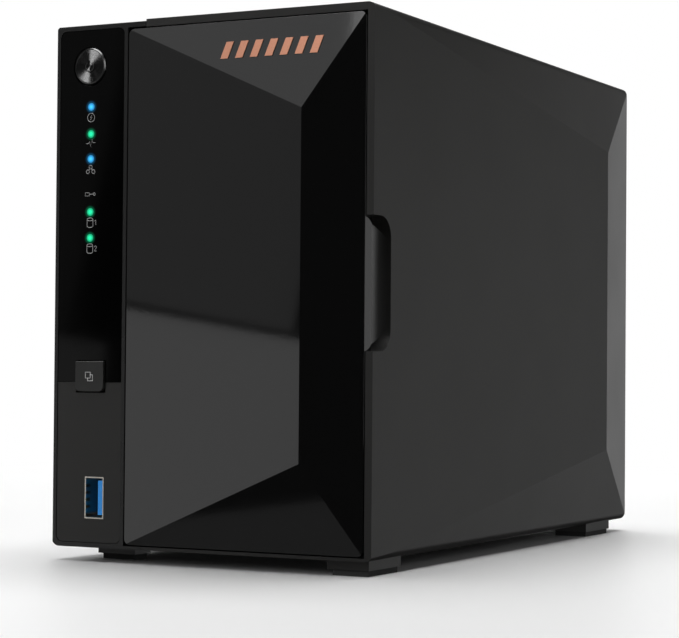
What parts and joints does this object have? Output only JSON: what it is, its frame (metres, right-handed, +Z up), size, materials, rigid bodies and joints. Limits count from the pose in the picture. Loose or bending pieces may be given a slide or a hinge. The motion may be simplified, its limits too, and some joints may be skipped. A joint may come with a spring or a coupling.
{
  "type": "nas enclosure",
  "caption": "Desktop network storage enclosure: control column, pull-off faceted door, drive trays with latches, fan and rear ports.",
  "frame": {"origin": "middle of the footprint, on the surface that the feet stand on", "axes": "+Z up, the door faces -Y, +X to the right of somebody who looks at the door"},
  "size_m": [0.114, 0.23, 0.17],
  "materials": {
    "case_plastic": "satin moulded ABS, fine grain",
    "bezel_plastic": "polished moulded ABS",
    "window_gloss": "smoked acrylic, polished",
    "panel_satin": "satin moulded ABS",
    "door_gloss": "piano-black polished ABS",
    "power_key": "black, turned rings",
    "copy_key": "black moulded ABS",
    "reset_key": "black moulded ABS",
    "rose_gold": "rose-gold plated, brushed",
    "foot_rubber": "moulded rubber",
    "light_guide": "clear polycarbonate, lit",
    "led_chip": "surface-mounted LED",
    "board_green": "green solder mask on glass fibre",
    "switch_black": "moulded nylon",
    "plated_shell": "nickel-plated folded steel",
    "tongue_blue": "blue moulded nylon",
    "cage_steel": "zinc-plated sheet steel",
    "guide_nylon": "moulded nylon",
    "socket_black": "moulded nylon",
    "chip_epoxy": "moulded epoxy",
    "coil_ferrite": "pressed ferrite",
    "can_aluminium": "drawn aluminium can",
    "sink_aluminium": "extruded, anodised",
    "strike_steel": "nickel-plated disc",
    "magnet_nickel": "nickel-plated magnet",
    "post_brass": "turned brass",
    "screw_steel": "zinc-plated steel",
    "screw_black": "black oxide steel",
    "rear_paint": "black powder coat on steel",
    "fan_plastic": "moulded PBT",
    "pin_nickel": "nickel-plated pin",
    "tray_plastic": "moulded ABS",
    "latch_plastic": "moulded ABS",
    "drive_casting": "die-cast aluminium",
    "drive_lid": "pressed stainless steel"
  },
  "bodies": {
    "case": {"left_shell": "case_plastic", "right_shell": "case_plastic", "front_bezel": "bezel_plastic", "strip_window": "window_gloss", "strip_lower_panel": "panel_satin", "rubber_feet": "foot_rubber", "light_guides": "light_guide", "indicator_leds": "led_chip", "front_board": "board_green", "backplane_board": "board_green", "mainboard": "board_green", "power_switch": "switch_black", "copy_switch": "switch_black", "reset_switch": "switch_black", "front_usb_shell": "plated_shell", "rear_usb_shells": "plated_shell", "lan_port": "plated_shell", "front_usb_tongue": "tongue_blue", "rear_usb_tongues": "tongue_blue", "drive_cage": "cage_steel", "rail_guides": "guide_nylon", "sata_sockets": "socket_black", "link_socket": "socket_black", "dc_jack": "socket_black", "processor": "chip_epoxy", "memory_chips": "chip_epoxy", "power_inductors": "coil_ferrite", "capacitors": "can_aluminium", "heat_sink": "sink_aluminium", "strike_plates": "strike_steel", "board_standoffs": "post_brass", "board_screws": "screw_steel", "cage_screws": "screw_steel", "panel_screws": "screw_black", "fan_screws": "screw_black", "rear_panel": "rear_paint", "fan_frame": "fan_plastic", "dc_jack_pin": "pin_nickel"},
    "door": {"door_panel": "door_gloss", "door_magnets": "magnet_nickel", "badge_inlay": "rose_gold"},
    "tray_1": {"tray_1": "tray_plastic", "latch_pin_1": "screw_steel", "drive_body_1": "drive_casting", "drive_cover_1": "drive_lid", "drive_board_1": "board_green", "drive_screws_1": "screw_steel"},
    "tray_2": {"tray_2": "tray_plastic", "latch_pin_2": "screw_steel", "drive_body_2": "drive_casting", "drive_cover_2": "drive_lid", "drive_board_2": "board_green", "drive_screws_2": "screw_steel"},
    "latch_1": {"tray_latch_1": "latch_plastic"},
    "latch_2": {"tray_latch_2": "latch_plastic"},
    "power_button": {"power_button": "power_key"},
    "copy_button": {"copy_button": "copy_key"},
    "reset_button": {"reset_button": "reset_key"},
    "fan_rotor": {"fan_rotor": "fan_plastic"}
  },
  "joints": [
    {"name": "door_pull", "type": "slide", "parent": "case", "child": "door", "axis": [0, -1, 0], "range_m": [0, 0.25]},
    {"name": "tray_1_slide", "type": "slide", "parent": "case", "child": "tray_1", "axis": [0, -1, 0], "range_m": [0, 0.15]},
    {"name": "latch_1_swing", "type": "hinge", "parent": "tray_1", "child": "latch_1", "pos_m": [-0.0084, -0.1051, 0.06], "axis": [1, 0, 0], "range_deg": [0, 60]},
    {"name": "tray_2_slide", "type": "slide", "parent": "case", "child": "tray_2", "axis": [0, -1, 0], "range_m": [0, 0.15]},
    {"name": "latch_2_swing", "type": "hinge", "parent": "tray_2", "child": "latch_2", "pos_m": [0.028, -0.1051, 0.06], "axis": [1, 0, 0], "range_deg": [0, 60]},
    {"name": "power_press", "type": "slide", "parent": "case", "child": "power_button", "axis": [0, 1, 0], "range_m": [0, 0.0012], "stiffness_N_per_m": 400},
    {"name": "copy_press", "type": "slide", "parent": "case", "child": "copy_button", "axis": [0, 1, 0], "range_m": [0, 0.001], "stiffness_N_per_m": 400},
    {"name": "reset_press", "type": "slide", "parent": "case", "child": "reset_button", "axis": [0, -1, 0], "range_m": [0, 0.0008], "stiffness_N_per_m": 300},
    {"name": "fan_spin", "type": "hinge", "parent": "case", "child": "fan_rotor", "pos_m": [0.0098, 0.103, 0.088], "axis": [0, 1, 0], "continuous": true}
  ],
  "couplings": [
    {"joint": "tray_1_slide", "follows": "door_pull", "ratio": 0.6},
    {"joint": "latch_1_swing", "follows": "door_pull", "rad_per_m": 4},
    {"joint": "tray_2_slide", "follows": "door_pull", "ratio": 0.6},
    {"joint": "latch_2_swing", "follows": "door_pull", "rad_per_m": 4}
  ]
}
